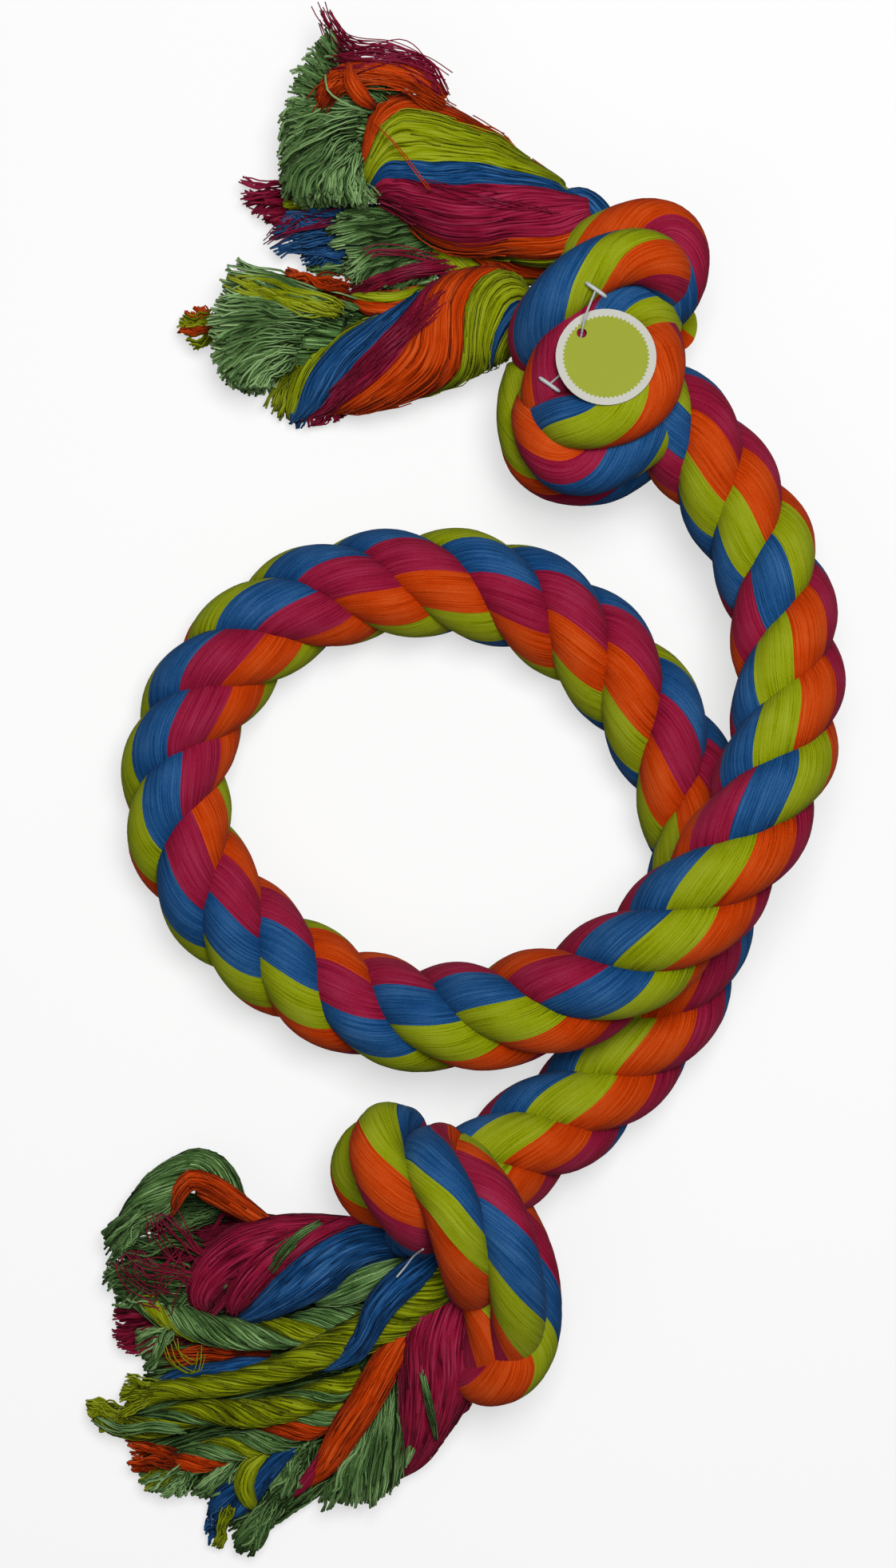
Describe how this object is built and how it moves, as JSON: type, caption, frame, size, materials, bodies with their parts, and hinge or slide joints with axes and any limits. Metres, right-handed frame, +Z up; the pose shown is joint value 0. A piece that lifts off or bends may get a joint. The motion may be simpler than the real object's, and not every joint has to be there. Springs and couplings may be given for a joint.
{
  "type": "rope dog toy",
  "caption": "Thick three-strand cotton rope chew toy laid in a loop, with a fat knot and a brushed-out yarn tassel at each end and a round hang tag.",
  "frame": {"origin": "middle of the toy's plan box, on the surface it lies on", "axes": "+Z up from that surface, +Y along the toy from the lower tassel to the upper one"},
  "size_m": [0.3049, 0.6227, 0.0888],
  "materials": {
    "rope_yarn": "four-colour cotton yarn, laid",
    "blue_yarn": "dyed cotton yarn",
    "lime_yarn": "dyed cotton yarn",
    "orange_yarn": "dyed cotton yarn",
    "magenta_yarn": "dyed cotton yarn",
    "core_yarn": "dyed cotton yarn, cut ends",
    "tag_card": "printed card",
    "tag_pin": "clear moulded plastic"
  },
  "bodies": {
    "loop": {"loop_strand_1": "rope_yarn", "loop_strand_2": "rope_yarn", "loop_strand_3": "rope_yarn", "upper_flex_strand_1": "rope_yarn", "upper_flex_strand_2": "rope_yarn", "upper_flex_strand_3": "rope_yarn", "lower_flex_strand_1": "rope_yarn", "lower_flex_strand_2": "rope_yarn", "lower_flex_strand_3": "rope_yarn"},
    "upper_tail": {"upper_tail_strand_1": "rope_yarn", "upper_tail_strand_2": "rope_yarn", "upper_tail_strand_3": "rope_yarn", "upper_knot_turn_1": "rope_yarn", "upper_knot_turn_2": "rope_yarn", "upper_knot_turn_3": "rope_yarn", "upper_knot_turn_4": "rope_yarn", "upper_knot_turn_5": "rope_yarn", "upper_knot_turn_6": "rope_yarn", "upper_knot_turn_7": "rope_yarn", "upper_knot_turn_8": "rope_yarn", "upper_knot_turn_9": "rope_yarn", "tag_pin": "tag_pin"},
    "lower_tail": {"lower_tail_strand_1": "rope_yarn", "lower_tail_strand_2": "rope_yarn", "lower_tail_strand_3": "rope_yarn", "lower_knot_turn_1": "rope_yarn", "lower_knot_turn_2": "rope_yarn", "lower_knot_turn_3": "rope_yarn", "lower_knot_turn_4": "rope_yarn", "lower_knot_turn_5": "rope_yarn", "lower_knot_turn_6": "rope_yarn", "lower_knot_turn_7": "rope_yarn", "lower_knot_turn_8": "rope_yarn", "lower_knot_turn_9": "rope_yarn"},
    "upper_end_1": {"upper_cover_1": "lime_yarn", "upper_brush_1": "core_yarn"},
    "upper_end_2": {"upper_cover_2": "orange_yarn", "upper_brush_2": "core_yarn"},
    "upper_end_3": {"upper_cover_3": "magenta_yarn", "upper_brush_3": "core_yarn"},
    "lower_end_1": {"lower_blue_lock": "blue_yarn", "lower_magenta_lock": "magenta_yarn", "lower_green_curl": "core_yarn", "lower_frayed_end": "core_yarn"},
    "lower_end_2": {"lower_lime_cord": "lime_yarn", "lower_green_cord": "core_yarn", "lower_twisted_cord": "lime_yarn", "lower_mixed_cord": "orange_yarn", "lower_blue_tips": "blue_yarn"},
    "lower_end_3": {"lower_magenta_sheet": "magenta_yarn", "lower_orange_lock": "orange_yarn", "lower_green_fringe": "core_yarn"},
    "tag": {"tag_card": "tag_card"}
  },
  "joints": [
    {"name": "upper_bend", "type": "hinge", "parent": "loop", "child": "upper_tail", "pos_m": [0.128, 0.0531, 0.0488], "axis": [0, 0, 1], "range_deg": [-25, 2], "deforming": ["upper_flex_strand_1", "upper_flex_strand_2", "upper_flex_strand_3"]},
    {"name": "lower_bend", "type": "hinge", "parent": "loop", "child": "lower_tail", "pos_m": [0.0757, -0.0987, 0.0206], "axis": [0, 0, 1], "range_deg": [0, 25], "deforming": ["lower_flex_strand_1", "lower_flex_strand_2", "lower_flex_strand_3"]},
    {"name": "upper_lift_1", "type": "hinge", "parent": "upper_tail", "child": "upper_end_1", "pos_m": [0.04, 0.2178, 0.0368], "axis": [0.452, 0.892, 0], "range_deg": [0, 20]},
    {"name": "upper_lift_2", "type": "hinge", "parent": "upper_tail", "child": "upper_end_2", "pos_m": [0.021, 0.1867, 0.0281], "axis": [0, 1, 0], "range_deg": [0, 20]},
    {"name": "upper_lift_3", "type": "hinge", "parent": "upper_tail", "child": "upper_end_3", "pos_m": [0.0291, 0.1974, 0.0181], "axis": [0.222, 0.975, 0], "range_deg": [0, 20]},
    {"name": "lower_lift_1", "type": "hinge", "parent": "lower_tail", "child": "lower_end_1", "pos_m": [-0.0191, -0.1877, 0.0302], "axis": [-0.1, 0.995, 0], "range_deg": [0, 20]},
    {"name": "lower_lift_2", "type": "hinge", "parent": "lower_tail", "child": "lower_end_2", "pos_m": [-0.0132, -0.1993, 0.0331], "axis": [-0.4291, 0.9032, 0], "range_deg": [0, 20]},
    {"name": "lower_lift_3", "type": "hinge", "parent": "lower_tail", "child": "lower_end_3", "pos_m": [-0.0009, -0.211, 0.0216], "axis": [-0.9102, 0.4141, 0], "range_deg": [0, 20]},
    {"name": "tag_tilt", "type": "hinge", "parent": "upper_tail", "child": "tag", "pos_m": [0.04078, 0.1814, 0.07225], "axis": [-0.7193, -0.6795, 0.1444], "range_deg": [0, 75], "deforming": ["tag_pin"]}
  ]
}
